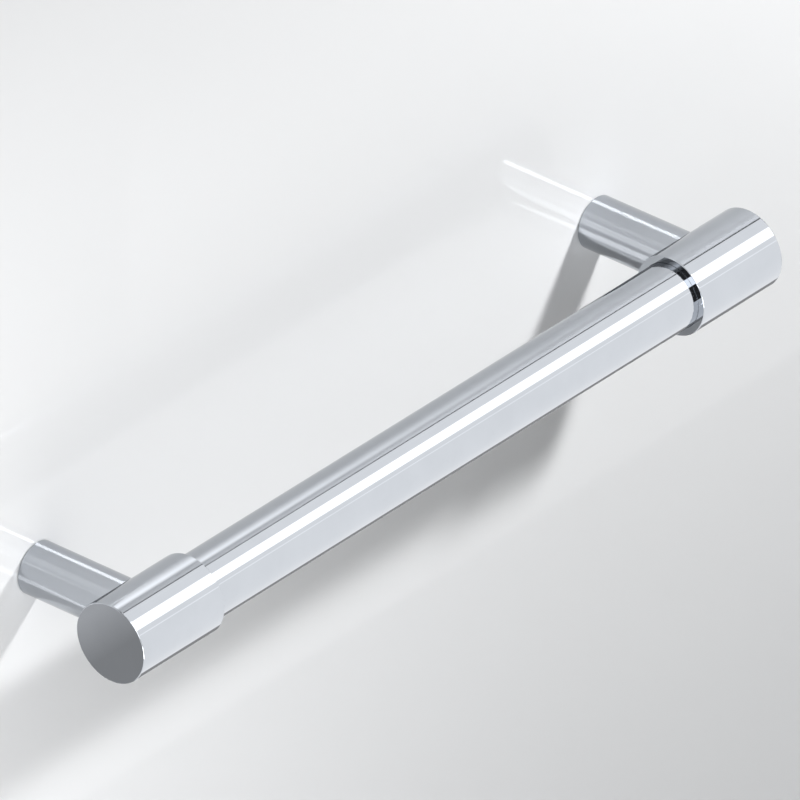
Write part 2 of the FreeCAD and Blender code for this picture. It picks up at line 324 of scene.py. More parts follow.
def surfaced(tree, **inputs):
    """The principled surface of a material, joined to its output."""
    surface = add_node(tree, "ShaderNodeBsdfPrincipled", {name.replace("_", " "): v for name, v in inputs.items()})
    add_node(tree, "ShaderNodeOutputMaterial", {"Surface": surface.outputs[0]})
    return surface


def bright_chrome(colours):
    """Bright chromium plate on buffed brass: a clean cool mirror, with a breath of haze that only softens it in patches."""
    material, tree = new_material("bright_chromium_plate")
    haze = speckle(tree, 9.0, detail=3.0)
    buffing = speckle(tree, 0.35, detail=2.0)
    colour = blended(tree, ranged(tree, haze, 0.0, 1.0), colours.chrome_light, colours.chrome_hazed)
    roughness = ranged(tree, haze, 0.018, 0.045)
    bump = add_node(tree, "ShaderNodeBump", {"Strength": 0.12, "Distance": 0.00002 * MM, "Height": buffing})
    surfaced(tree, Base_Color=colour, Metallic=1.0, Roughness=roughness, Normal=bump.outputs[0])
    return material


def turned_brass(colours):
    """Free-cutting brass off the lathe: fine rings across the bar, warm and half bright."""
    material, tree = new_material("turned_free_cutting_brass")
    rings = speckle(tree, 0.25, stretch=(1.0, 0.02, 0.02))
    dulling = speckle(tree, 3.0)
    colour = blended(tree, ranged(tree, dulling, 0.0, 1.0), colours.brass_light, colours.brass_dark)
    bump = add_node(tree, "ShaderNodeBump", {"Strength": 0.5, "Distance": 0.01 * MM, "Height": rings})
    roughness = ranged(tree, rings, 0.22, 0.36)
    surfaced(tree, Base_Color=colour, Metallic=1.0, Roughness=roughness, Normal=bump.outputs[0])
    return material


def headed_steel(colours):
    """Cold-headed stainless steel, tumbled: an even satin grey with fine scuffs from the tumbling stones."""
    material, tree = new_material("tumbled_stainless_steel")
    scuffs = speckle(tree, 0.18, detail=4.0)
    patches = speckle(tree, 1.6)
    colour = blended(tree, ranged(tree, patches, 0.0, 1.0), colours.steel_light, colours.steel_dark)
    bump = add_node(tree, "ShaderNodeBump", {"Strength": 0.35, "Distance": 0.004 * MM, "Height": scuffs})
    roughness = ranged(tree, patches, 0.2, 0.32)
    surfaced(tree, Base_Color=colour, Metallic=1.0, Roughness=roughness, Normal=bump.outputs[0])
    return material


def clear_vinyl(colours):
    """Soft clear vinyl, moulded: see-through and slightly milky, with a slick skin that scatters a little."""
    material, tree = new_material("moulded_clear_vinyl")
    cloud = speckle(tree, 1.2)
    skin = speckle(tree, 0.3)
    bump = add_node(tree, "ShaderNodeBump", {"Strength": 0.3, "Distance": 0.01 * MM, "Height": skin})
    surfaced(
        tree, Base_Color=colours.vinyl, Roughness=ranged(tree, cloud, 0.16, 0.3), IOR=1.53,
        Transmission_Weight=0.85, Normal=bump.outputs[0],
    )
    return material


def gloss_panel(colours):
    """Back-painted glass: pale colour under a glossy face, seen through from behind so that the fixings show. Its paint
    carries painted shade: darker where metal mirrors it, and darker again in metal that metal mirrors.
    """
    material, tree = new_material("gloss_panel")
    paint = speckle(tree, 60.0)
    colour = blended(tree, ranged(tree, paint, 0.0, 0.04), colours.wall, colours.floor)
    path = add_node(tree, "ShaderNodeLightPath").outputs
    # Painted shade: the paint's colour is scaled down for glossy rays, and further at the second glossy bounce, so the
    # panel looks darker in polished metal than the lamps make it
    once = add_node(tree, "ShaderNodeMapRange", {"Value": path["Is Glossy Ray"], "To Min": 1.0,
                                                "To Max": PANEL_PAINTED_SHADE_IN_METAL}).outputs[0]
    twice = add_node(tree, "ShaderNodeMapRange", {"Value": path["Glossy Depth"], "From Min": 1.0, "From Max": 2.0,
                                                 "To Min": 1.0, "To Max": PANEL_PAINTED_SHADE_MIRRORED_TWICE}).outputs[0]
    share = add_node(tree, "ShaderNodeMath", {0: once, 1: twice}, operation="MULTIPLY")
    shaded = add_node(tree, "ShaderNodeVectorMath", {0: colour, "Scale": share.outputs[0]}, operation="SCALE")
    paint_coat = add_node(tree, "ShaderNodeBsdfDiffuse", {"Color": shaded.outputs[0]})
    face = add_node(tree, "ShaderNodeBsdfGlossy", {"Roughness": PANEL_ROUGHNESS})
    fresnel = add_node(tree, "ShaderNodeFresnel", {"IOR": 1.5}).outputs[0]
    seen = add_node(tree, "ShaderNodeLightPath").outputs["Is Camera Ray"]
    most = add_node(tree, "ShaderNodeMapRange", {"Value": seen, "To Min": PANEL_GLOSS, "To Max": PANEL_GLOSS_SEEN})
    gloss = add_node(tree, "ShaderNodeMath", {0: fresnel, 1: most.outputs[0]}, operation="MINIMUM").outputs[0]
    panel = add_node(tree, "ShaderNodeMixShader", {0: gloss, 1: paint_coat.outputs[0], 2: face.outputs[0]})
    open_behind(tree, panel.outputs[0])
    return material


def open_behind(tree, surface):
    """Ends a stage material so that its back is clear and hides nothing of the handle."""
    clear = add_node(tree, "ShaderNodeBsdfTransparent")
    behind = add_node(tree, "ShaderNodeNewGeometry").outputs["Backfacing"]
    mixed = add_node(tree, "ShaderNodeMixShader", {0: behind, 1: surface, 2: clear.outputs[0]})
    add_node(tree, "ShaderNodeOutputMaterial", {"Surface": mixed.outputs[0]})


def pale_floor(colours):
    """Matt painted floor with a pale glow for the eye and the surround's level in metal, so no dark horizon shows."""
    material, tree = new_material("pale_floor")
    paint = speckle(tree, 40.0)
    colour = blended(tree, ranged(tree, paint, 0.0, 0.05), colours.floor, colours.wall)
    matt = add_node(tree, "ShaderNodeBsdfDiffuse", {"Color": colour})
    path = add_node(tree, "ShaderNodeLightPath").outputs
    mirrored_room = bpy.context.scene.handle_lights.mirrored_room
    level = add_node(tree, "ShaderNodeMapRange", {"Value": path["Is Glossy Ray"], "To Min": 1.0,
                                                 "To Max": mirrored_room})
    glow = add_node(tree, "ShaderNodeEmission", {"Color": tuple(colours.sky), "Strength": level.outputs[0]})
    to_eye = add_node(tree, "ShaderNodeMath", {0: path["Is Camera Ray"], 1: FLOOR_GLOW}, operation="MULTIPLY")
    share = add_node(tree, "ShaderNodeMath", {0: path["Is Glossy Ray"], 1: to_eye.outputs[0]}, operation="MAXIMUM")
    mixed = add_node(tree, "ShaderNodeMixShader", {0: share.outputs[0], 1: matt.outputs[0], 2: glow.outputs[0]})
    open_behind(tree, mixed.outputs[0])
    return material


def grey_card(name, low, high, fade):
    """Grey card whose glow changes with height: painted shade, so that the polished metal opposite reads as a shaded
    face.
    """
    material, tree = new_material(name)
    place = add_node(tree, "ShaderNodeTexCoord").outputs["Object"]
    height = add_node(tree, "ShaderNodeSeparateXYZ", {0: place}).outputs["Z"]
    glow = add_node(tree, "ShaderNodeEmission", {"Strength": ranged(tree, height, low, high, *fade)})
    add_node(tree, "ShaderNodeOutputMaterial", {"Surface": glow.outputs[0]})
    return material


def streak_card(lights):
    """Painted reflection: a glowing patch on the panel, seen only in metal, for soft light mirrored in the panel; it
    dies away above, below and to the right.
    """
    material, tree = new_material("streak_card")
    place = add_node(tree, "ShaderNodeTexCoord").outputs["Object"]
    parts = add_node(tree, "ShaderNodeSeparateXYZ", {0: place}).outputs
    off = add_node(tree, "ShaderNodeMath", {0: parts["Z"], 1: STREAK_HEIGHT}, operation="SUBTRACT").outputs[0]
    away = add_node(tree, "ShaderNodeMath", {0: off}, operation="ABSOLUTE").outputs[0]
    across = add_node(tree, "ShaderNodeMapRange", {"Value": away, "From Max": STREAK_HALF, "To Min": 1.0,
                                                  "To Max": 0.0}, interpolation_type="SMOOTHSTEP").outputs[0]
    along = ranged(tree, parts["X"], 1.0, 0.0, *STREAK_FADE)
    share = add_node(tree, "ShaderNodeMath", {0: across, 1: along}, operation="MULTIPLY").outputs[0]
    clear = add_node(tree, "ShaderNodeBsdfTransparent").outputs[0]
    glow = add_node(tree, "ShaderNodeEmission", {"Strength": lights.streak}).outputs[0]
    mixed = add_node(tree, "ShaderNodeMixShader", {0: share, 1: clear, 2: glow})
    add_node(tree, "ShaderNodeOutputMaterial", {"Surface": mixed.outputs[0]})
    return material


def dark_flag(lights):
    """Black cloth on the left that gives the polished metal its dark tones."""
    material, tree = new_material("dark_flag")
    glow = add_node(tree, "ShaderNodeEmission", {"Strength": lights.dark_side})
    add_node(tree, "ShaderNodeOutputMaterial", {"Surface": glow.outputs[0]})
    return material


def finish_of(context, maker):
    """A finish, made once and shared by all pieces that have it."""
    finishes = bpy.app.driver_namespace.setdefault("handle_finishes", {})
    if maker.__name__ not in finishes:
        finishes[maker.__name__] = maker(context.scene.handle_colours)
    return finishes[maker.__name__]


def rounded(corners):
    """Closed outline of (along, radius) points from corners (along, radius, edge), each edge turned to an arc."""
    outline = []
    for index, (along, radius, edge) in enumerate(corners):
        corner = Vector((along, radius))
        if edge == 0:
            outline.append(tuple(corner))
            continue
        back = (Vector(corners[index - 1][:2]) - corner).normalized()
        ahead = (Vector(corners[(index + 1) % len(corners)][:2]) - corner).normalized()
        half = back.angle(ahead) / 2
        centre = corner + (back + ahead).normalized() * edge / math.sin(half)
        start = (corner + back * edge / math.tan(half) - centre).normalized()
        end = (corner + ahead * edge / math.tan(half) - centre).normalized()
        for step in range(ARC_STEPS + 1):
            outline.append(tuple(centre + start.slerp(end, step / ARC_STEPS) * edge))
    return outline


def turned(name, outline, origin, along, side, columns, closed=False):
    """Mesh of an outline turned about a line; an outline point is (along, radius) or a function of the angle."""
    third = along.cross(side)
    built = bmesh.new()
    rings = []
    for point in outline:
        ring = []
        for column in range(columns):
            angle = 2 * math.pi * column / columns
            run, radius = point(angle) if callable(point) else point
            spoke = side * math.cos(angle) + third * math.sin(angle)
            ring.append(built.verts.new(origin + along * run + spoke * radius))
            if radius == 0:
                break
        rings.append(ring)
    pairs = list(zip(rings, rings[1:]))
    if closed:
        pairs.append((rings[-1], rings[0]))
    for first, second in pairs:
        for column in range(columns):
            following = (column + 1) % columns
            corners = []
            for vertex in (
                first[column % len(first)],
                first[following % len(first)],
                second[following % len(second)],
                second[column % len(second)],
            ):
                if vertex not in corners:
                    corners.append(vertex)
            built.faces.new(corners)
    bmesh.ops.recalc_face_normals(built, faces=built.faces)
    mesh = bpy.data.meshes.new(name)
    built.to_mesh(mesh)
    built.free()
    piece = bpy.data.objects.new(name, mesh)
    bpy.context.scene.collection.objects.link(piece)
    return piece


def take_result(piece):
    """Puts the result of a piece's live modifiers into its mesh and removes them."""
    graph = bpy.context.evaluated_depsgraph_get()
    graph.update()
    result = bpy.data.meshes.new_from_object(
        piece.evaluated_get(graph), preserve_all_data_layers=True, depsgraph=graph
    )
    piece.modifiers.clear()
    old = piece.data
    piece.data = result
    bpy.data.meshes.remove(old)
    result.name = piece.name


def settle(piece, material):
    """Plain closed mesh with outward faces, true normals on its long faces, and one finish."""
    if piece.modifiers:
        take_result(piece)
    built = bmesh.new()
    built.from_mesh(piece.data)
    bmesh.ops.remove_doubles(built, verts=built.verts, dist=MERGE_DISTANCE)
    bmesh.ops.recalc_face_normals(built, faces=built.faces)
    open_edges = sum(not edge.is_manifold for edge in built.edges)
    built.to_mesh(piece.data)
    built.free()
    if open_edges:
        raise ValueError(f"{piece.name} has {open_edges} open edges")
    piece.data.shade_smooth()
    piece.data.set_sharp_from_angle(angle=SHARP_ANGLE)
    weighting = piece.modifiers.new("True normals", "WEIGHTED_NORMAL")
    weighting.mode = "FACE_AREA"
    weighting.weight = 100
    weighting.keep_sharp = True
    take_result(piece)
    piece.data.materials.clear()
    piece.data.materials.append(material)


def hand_over(piece, slot, *nodes):
    """The piece rides on the one body and stands for its solids, which are hidden; the slot is not used."""
    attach(piece, BODY)
    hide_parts(*nodes)


def cut_by(piece, cutter):
    """Adds a live cut of one piece by another."""
    cut = piece.modifiers.new("Cut", "BOOLEAN")
    cut.operation = "DIFFERENCE"
    cut.solver = "EXACT"
    cut.object = cutter


def cross_holes(side, sizes):
    """Cutters for the spigot's hole from the rear and the grub screw's hole from below, near one end of the bar."""
    centre = Vector((side * POST_X, BAR_Y, 0))
    hole = sizes.spigot_radius + sizes.fit_gap
    grub = GRUB_RADIUS + sizes.thread_gap
    reach = SOCKET_RADIUS + CUT_PAST
    to_rear = turned("spigot_cutter", [(0, 0), (0, hole), (reach, hole), (reach, 0)],
                     centre, Vector((0, 1, 0)), Vector((1, 0, 0)), PLAIN_COLUMNS)
    downwards = turned("grub_cutter", [(0, 0), (0, grub), (reach, grub), (reach, 0)],
                       centre, Vector((0, 0, -1)), Vector((1, 0, 0)), PLAIN_COLUMNS)
    return to_rear, downwards


def discard(objects):
    """Removes helpers that have done their work."""
    for helper in objects:
        mesh = helper.data
        bpy.data.objects.remove(helper)
        bpy.data.meshes.remove(mesh)


def named_inputs(tree, inputs):
    """Gives a geometry tree its inputs, each a name and a kind of socket, and its output."""
    for name, kind in inputs.items():
        tree.interface.new_socket(name, in_out="INPUT", socket_type=kind)
    tree.interface.new_socket("Geometry", in_out="OUTPUT", socket_type="NodeSocketGeometry")
    return add_node(tree, "NodeGroupInput").outputs


def calculate(tree, operation, first, second):
    """A sum, difference, product or other step on two numbers."""
    return add_node(tree, "ShaderNodeMath", {0: first, 1: second}, operation=operation).outputs[0]


def ring_tree():
    """Geometry tree that sweeps a rectangle with rounded corners round a circle: tubes, sleeves and gaskets."""
    tree = bpy.data.node_groups.new("Ring about a line", "GeometryNodeTree")
    given = named_inputs(tree, {
        "Geometry": "NodeSocketGeometry",
        "Length": "NodeSocketFloat",
        "Radius": "NodeSocketFloat",
        "Bore Radius": "NodeSocketFloat",
        "Edge": "NodeSocketFloat",
        "Columns": "NodeSocketInt",
        "Edge Steps": "NodeSocketInt",
        "Turn": "NodeSocketRotation",
        "Middle": "NodeSocketVector",
        "Finish": "NodeSocketMaterial",
    })
    wall = calculate(tree, "SUBTRACT", given["Radius"], given["Bore Radius"])
    both = calculate(tree, "ADD", given["Radius"], given["Bore Radius"])
    path_radius = calculate(tree, "MULTIPLY", both, 0.5)
    section = add_node(tree, "GeometryNodeCurvePrimitiveQuadrilateral", {"Width": wall, "Height": given["Length"]})
    softened = add_node(tree, "GeometryNodeFilletCurve", {"Curve": section.outputs[0], "Count": given["Edge Steps"],
                                                         "Radius": given["Edge"]}, mode="POLY")
    circle = add_node(tree, "GeometryNodeCurvePrimitiveCircle", {"Resolution": given["Columns"], "Radius": path_radius})
    swept = add_node(tree, "GeometryNodeCurveToMesh", {"Curve": circle.outputs[0], "Profile Curve": softened.outputs[0]})
    placed = add_node(tree, "GeometryNodeTransform", {"Geometry": swept.outputs[0], "Rotation": given["Turn"],
                                                     "Translation": given["Middle"]})
    real = add_node(tree, "GeometryNodeRealizeInstances", {"Geometry": placed.outputs[0]})
    dressed = add_node(tree, "GeometryNodeSetMaterial", {"Geometry": real.outputs[0], "Material": given["Finish"]})
    add_node(tree, "NodeGroupOutput", {"Geometry": dressed.outputs[0]})
    return tree


def thread_tree():
    """Geometry tree that cuts a helical thread into a turned blank: each point moves in or out with its place on the helix."""
    tree = bpy.data.node_groups.new("Thread on a blank", "GeometryNodeTree")
    given = named_inputs(tree, {
        "Geometry": "NodeSocketGeometry",
        "Pitch": "NodeSocketFloat",
        "Depth": "NodeSocketFloat",
        "Start": "NodeSocketFloat",
        "End": "NodeSocketFloat",
        "Run Out": "NodeSocketFloat",
        "Flat Share": "NodeSocketFloat",
        "Core": "NodeSocketFloat",
        "Turn": "NodeSocketRotation",
        "Origin": "NodeSocketVector",
        "Finish": "NodeSocketMaterial",
    })
    place = add_node(tree, "GeometryNodeInputPosition").outputs[0]
    parts = add_node(tree, "ShaderNodeSeparateXYZ", {0: place}).outputs
    angle = calculate(tree, "ARCTAN2", parts["Y"], parts["X"])
    turn_share = calculate(tree, "DIVIDE", angle, 2 * math.pi)
    rise_share = calculate(tree, "DIVIDE", parts["Z"], given["Pitch"])
    phase = calculate(tree, "SUBTRACT", rise_share, turn_share)
    wave = calculate(tree, "PINGPONG", phase, 0.5)
    top = calculate(tree, "SUBTRACT", 0.5, given["Flat Share"])
    half_depth = calculate(tree, "MULTIPLY", given["Depth"], 0.5)
    inward = calculate(tree, "MULTIPLY", half_depth, -1.0)
    height = add_node(tree, "ShaderNodeMapRange", {"Value": wave, "From Min": given["Flat Share"], "From Max": top,
                                                   "To Min": inward, "To Max": half_depth}).outputs[0]
    after_start = calculate(tree, "SUBTRACT", parts["Z"], given["Start"])
    before_end = calculate(tree, "SUBTRACT", given["End"], parts["Z"])
    nearest = calculate(tree, "MINIMUM", after_start, before_end)
    inside = add_node(tree, "ShaderNodeMapRange", {"Value": nearest, "From Max": given["Run Out"]}).outputs[0]
    reach = calculate(tree, "MULTIPLY", height, inside)
    flat_place = add_node(tree, "ShaderNodeCombineXYZ", {"X": parts["X"], "Y": parts["Y"]}).outputs[0]
    distance = add_node(tree, "ShaderNodeVectorMath", {0: flat_place}, operation="LENGTH").outputs["Value"]
    outside = calculate(tree, "GREATER_THAN", distance, given["Core"])
    spoke = add_node(tree, "ShaderNodeVectorMath", {0: flat_place}, operation="NORMALIZE").outputs[0]
    move = add_node(tree, "ShaderNodeVectorMath", {0: spoke, "Scale": reach}, operation="SCALE").outputs[0]
    threaded = add_node(tree, "GeometryNodeSetPosition", {"Geometry": given["Geometry"], "Selection": outside,
                                                         "Offset": move})
    placed = add_node(tree, "GeometryNodeTransform", {"Geometry": threaded.outputs[0], "Rotation": given["Turn"],
                                                     "Translation": given["Origin"]})
    real = add_node(tree, "GeometryNodeRealizeInstances", {"Geometry": placed.outputs[0]})
    dressed = add_node(tree, "GeometryNodeSetMaterial", {"Geometry": real.outputs[0], "Material": given["Finish"]})
    add_node(tree, "NodeGroupOutput", {"Geometry": dressed.outputs[0]})
    return tree


def geometry_tree(maker):
    """A geometry tree, made once and shared."""
    trees = bpy.app.driver_namespace.setdefault("handle_trees", {})
    if maker.__name__ not in trees:
        trees[maker.__name__] = maker()
    return trees[maker.__name__]


def grow(piece, tree, **values):
    """Gives a piece a geometry tree with its inputs set by their sockets' identifiers."""
    modifier = piece.modifiers.new(tree.name, "NODES")
    modifier.node_group = tree
    for item in tree.interface.items_tree:
        key = item.name.lower().replace(" ", "_")
        if item.in_out == "INPUT" and key in values:
            modifier[item.identifier] = values[key]


def make_ring(name, start, end, centre, turn, radius, bore, edge, columns, finish):
    """A ring or tube about a line through a centre, from the ring tree."""
    piece = bpy.data.objects.new(name, bpy.data.meshes.new(name))
    bpy.context.scene.collection.objects.link(piece)
    grow(
        piece, geometry_tree(ring_tree), length=end - start, radius=radius, bore_radius=bore, edge=edge,
        columns=columns, edge_steps=ARC_STEPS, turn=turn, middle=centre, finish=finish,
    )
    return piece


def hexagon(along, width):
    """Outline point that follows a six-sided key socket."""
    def point(angle):
        from_flat = (angle + HEXAGON_STEP / 2) % HEXAGON_STEP - HEXAGON_STEP / 2
        return along, width / 2 / math.cos(from_flat)
    return point


def key_socket(mouth, depth, width, edge):
    """Outline points of a six-sided key socket, from its softened mouth to its drilled floor."""
    floor_cone = width / 4
    return [
        hexagon(mouth, width + 2 * edge),
        hexagon(mouth - edge / 3, width + edge / 2),
        hexagon(mouth - edge, width),
        hexagon(mouth - depth, width),
        (mouth - depth, width / 2 * 0.96),
        (mouth - depth - floor_cone * 0.5, 0),
    ]


def rows(start, end, radius, spacing):
    """Close rows of outline points along a straight stretch, for a thread to move."""
    count = max(1, round((end - start) / spacing))
    return [(start + (end - start) * step / count, radius) for step in range(count + 1)]


class HANDLE_OT_grip_tube(bpy.types.Operator):
    """Chromed tube with softened ends and the cross holes for its spigots and grub screws"""

    bl_idname = "handle.grip_tube"
    bl_label = "Grip Tube"

    def execute(self, context):
        sizes = context.scene.handle_sizes
        chrome = finish_of(context, bright_chrome)
        along_bar = (0.0, math.pi / 2, 0.0)
        tube = make_ring(
            "chrome_grip_tube", -TUBE_END, TUBE_END, (0.0, BAR_Y, 0.0), along_bar,
            TUBE_RADIUS, TUBE_RADIUS - sizes.tube_wall, sizes.tube_edge, FINE_COLUMNS, chrome,
        )
        cutters = [*cross_holes(-1, sizes), *cross_holes(1, sizes)]
        for cutter in cutters:
            cut_by(tube, cutter)
        settle(tube, chrome)
        discard(cutters)
        hand_over(tube, "polished_chrome", "grip_tube")
        return {"FINISHED"}


class HANDLE_OT_end_sockets(bpy.types.Operator):
    """Chromed cups over the ends of the tube, with rounded rims"""

    bl_idname = "handle.end_sockets"
    bl_label = "End Sockets"

    def execute(self, context):
        sizes = context.scene.handle_sizes
        chrome = finish_of(context, bright_chrome)
        bore = TUBE_RADIUS + sizes.fit_gap
        floor = SOCKET_END - sizes.socket_end_wall
        outline = rounded([
            (SOCKET_END, 0, 0),
            (SOCKET_END, SOCKET_RADIUS, sizes.socket_edge),
            (SOCKET_MOUTH, SOCKET_RADIUS, sizes.socket_edge),
            (SOCKET_MOUTH, bore, sizes.socket_mouth_edge),
            (floor, bore, 0),
            (floor, 0, 0),
        ])
        for name, side in SIDES.items():
            socket = turned(f"chrome_{name}_socket", outline, Vector((0, BAR_Y, 0)), Vector((side, 0, 0)),
                            Vector((0, 0, 1)), FINE_COLUMNS)
            cutters = cross_holes(side, sizes)
            for cutter in cutters:
                cut_by(socket, cutter)
            settle(socket, chrome)
            discard(cutters)
            hand_over(socket, "polished_chrome", f"{name}_end_socket")
        return {"FINISHED"}


class HANDLE_OT_posts(bpy.types.Operator):
    """Chromed posts, each with a saddle on its socket, a spigot into the bar and a recess at the glass"""

    bl_idname = "handle.posts"
    bl_label = "Posts"

    def execute(self, context):
        sizes = context.scene.handle_sizes
        chrome = finish_of(context, bright_chrome)
        tapped = sizes.screw_thread + sizes.thread_gap
        tapped_end = SCREW_POINT - sizes.tapped_past
        recess = POST_RADIUS - sizes.post_rim

        def saddle(radius):
            return lambda angle: (BAR_Y + math.sqrt(SOCKET_RADIUS ** 2 - (radius * math.sin(angle)) ** 2), radius)

        def flatted(point):
            run, radius = point
            flat = -GRUB_TOP
            return lambda angle: (run, min(radius, flat / max(math.sin(angle), flat / SOCKET_RADIUS)))

        flat_end = BAR_Y + GRUB_RADIUS + CUT_PAST
        spigot = rounded([
            (SPIGOT_END, 0, 0),
            (SPIGOT_END, sizes.spigot_radius, sizes.spigot_edge),
            (flat_end, sizes.spigot_radius, 0),
        ])
        rim = rounded([
            (BAR_Y, POST_RADIUS, 0),
            (POST_RIM, POST_RADIUS, sizes.post_edge),
            (POST_RIM, recess, sizes.small_edge),
            (RECESS_FLOOR, recess, 0),
            (RECESS_FLOOR, tapped, sizes.small_edge),
            (tapped_end, tapped, 0),
            (tapped_end - tapped / 2, 0, 0),
        ])
        step = (POST_RADIUS - sizes.spigot_radius) / SADDLE_STEPS
        seat = [saddle(sizes.spigot_radius + step * count) for count in range(SADDLE_STEPS + 1)]
        outline = [spigot[0]] + [flatted(point) for point in spigot[1:]] + [(flat_end, sizes.spigot_radius)]
        outline += seat + rim[1:]
        for name, side in SIDES.items():
            post = turned(f"chrome_{name}_post", outline, Vector((side * POST_X, 0, 0)), Vector((0, 1, 0)),
                          Vector((1, 0, 0)), FINE_COLUMNS)
            settle(post, chrome)
            hand_over(post, "polished_chrome", f"{name}_post")
        return {"FINISHED"}


class HANDLE_OT_cup_washers(bpy.types.Operator):
    """Chromed cup washers behind the glass, countersunk for the screw heads"""

    bl_idname = "handle.cup_washers"
    bl_label = "Cup Washers"

    def execute(self, context):
        sizes = context.scene.handle_sizes
        chrome = finish_of(context, bright_chrome)
        hole = sizes.screw_shank + sizes.washer_play
        rim = HEAD_RADIUS + sizes.washer_rim_gap
        outline = rounded([
            (WASHER_FRONT, hole, 0),
            (WASHER_FRONT, WASHER_RADIUS, sizes.small_edge),
            (WASHER_BACK, WASHER_RADIUS, sizes.washer_edge),
            (WASHER_BACK, rim, sizes.small_edge),
            (WASHER_BACK - sizes.screw_rim, rim, 0),
            (WASHER_BACK - sizes.screw_rim, HEAD_RADIUS, 0),
            (WASHER_FRONT + sizes.washer_play, hole, 0),
        ])
        for name, side in SIDES.items():
            washer = turned(f"chrome_{name}_cup_washer", outline, Vector((side * POST_X, 0, 0)), Vector((0, 1, 0)),
                            Vector((1, 0, 0)), FINE_COLUMNS, closed=True)
            settle(washer, chrome)
            hand_over(washer, "polished_chrome", f"{name}_cup_washer")
        return {"FINISHED"}


class HANDLE_OT_clear_seals(bpy.types.Operator):
    """Clear vinyl gaskets on both faces of the glass and sleeves through it"""

    bl_idname = "handle.clear_seals"
    bl_label = "Clear Seals"

    def execute(self, context):
        sizes = context.scene.handle_sizes
        vinyl = finish_of(context, clear_vinyl)
        about_post = (math.pi / 2, 0.0, 0.0)
        for name in SIDES:
            for part in ("front_gasket", "glass_sleeve", "rear_gasket"):
                node = f"{name}_{part}"
                low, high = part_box(node)
                middle = (low + high) / 2
                radius = (high.x - low.x) / 2
                sleeve_radius = half_width(f"{name}_glass_sleeve", X)
                bores = {
                    "front_gasket": radius - sizes.gasket_width,
                    "glass_sleeve": radius - sizes.sleeve_wall,
                    "rear_gasket": sleeve_radius + sizes.rear_hole_gap,
                }
                seal = make_ring(f"clear_{node}", low.y, high.y, tuple(middle), about_post, radius,
                                 bores[part], sizes.vinyl_edge, PLAIN_COLUMNS, vinyl)
                settle(seal, vinyl)
                hand_over(seal, "clear_vinyl", node)
        return {"FINISHED"}


class HANDLE_OT_screws(bpy.types.Operator):
    """Stainless fixing screws and grub screws with key sockets and real threads"""

    bl_idname = "handle.screws"
    bl_label = "Screws"

    def execute(self, context):
        sizes = context.scene.handle_sizes
        steel = finish_of(context, headed_steel)
        for name, side in SIDES.items():
            self.fixing_screw(name, side * POST_X, sizes, steel)
            self.grub_screw(name, side * POST_X, sizes, steel)
        return {"FINISHED"}

    def fixing_screw(self, name, x, sizes, steel):
        """Countersunk screw, made from its point at zero up to its head, then turned to lie along Y."""
        length = WASHER_BACK - SCREW_POINT
        thread_end = RECESS_FLOOR - SCREW_POINT
        cone_start = WASHER_FRONT - SCREW_POINT
        rim_start = length - sizes.screw_rim
        bevel = sizes.screw_point_edge
        outline = [(0, 0), (0, sizes.screw_thread - bevel)]
        outline += rows(bevel, thread_end, sizes.screw_thread, sizes.screw_pitch / ROWS_PER_THREAD)
        outline += [(thread_end, sizes.screw_shank), (cone_start, sizes.screw_shank), (rim_start, HEAD_RADIUS)]
        outline += [(length - sizes.small_edge, HEAD_RADIUS), (length, HEAD_RADIUS - sizes.small_edge)]
        outline += key_socket(length, sizes.screw_key_depth, sizes.screw_key, sizes.key_edge)
        screw = turned(f"steel_{name}_fixing_screw", outline, Vector(), Vector((0, 0, 1)), Vector((1, 0, 0)),
                       THREAD_COLUMNS)
        grow(
            screw, geometry_tree(thread_tree), pitch=sizes.screw_pitch, depth=0.6 * sizes.screw_pitch,
            start=bevel, end=thread_end, run_out=sizes.screw_pitch, flat_share=0.07,
            core=sizes.screw_thread - sizes.thread_gap, turn=(-math.pi / 2, 0.0, 0.0),
            origin=(x, SCREW_POINT, 0.0), finish=steel,
        )
        settle(screw, steel)
        hand_over(screw, "stainless_steel", f"{name}_fixing_screw")

    def grub_screw(self, name, x, sizes, steel):
        """Headless screw, made from its point at zero up to its key socket, then turned to hang down."""
        length = GRUB_TOP - GRUB_BOTTOM
        bevel = sizes.grub_edge
        outline = [(0, 0), (0, GRUB_RADIUS - bevel)]
        outline += rows(bevel, length - bevel, GRUB_RADIUS, sizes.grub_pitch / ROWS_PER_THREAD)
        outline += [(length, GRUB_RADIUS - bevel)]
        outline += key_socket(length, sizes.grub_key_depth, sizes.grub_key, sizes.key_edge)
        screw = turned(f"steel_{name}_grub_screw", outline, Vector(), Vector((0, 0, 1)), Vector((1, 0, 0)),
                       THREAD_COLUMNS)
        grow(
            screw, geometry_tree(thread_tree), pitch=sizes.grub_pitch, depth=0.6 * sizes.grub_pitch,
            start=bevel, end=length - bevel, run_out=sizes.grub_pitch / 2, flat_share=0.07,
            core=GRUB_RADIUS - sizes.thread_gap, turn=(math.pi, 0.0, 0.0),
            origin=(x, BAR_Y, GRUB_TOP), finish=steel,
        )
        settle(screw, steel)
        hand_over(screw, "stainless_steel", f"{name}_grub_screw")


class HANDLE_OT_tube_plugs(bpy.types.Operator):
    """Turned brass for the plugs inside the ends of the tube, whose solids stay as they are"""

    bl_idname = "handle.tube_plugs"
    bl_label = "Tube Plugs"

    def execute(self, context):
        brass = finish_of(context, turned_brass)
        for name in SIDES:
            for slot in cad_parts[f"{name}_tube_plug"].material_slots:
                slot.material = brass
        return {"FINISHED"}


def plane(name, corners, material):
    """One flat face of the stage."""
    mesh = bpy.data.meshes.new(name)
    mesh.from_pydata(corners, [], [tuple(range(len(corners)))])
    mesh.materials.append(material)
    face = bpy.data.objects.new(name, mesh)
    bpy.context.scene.collection.objects.link(face)
    return face


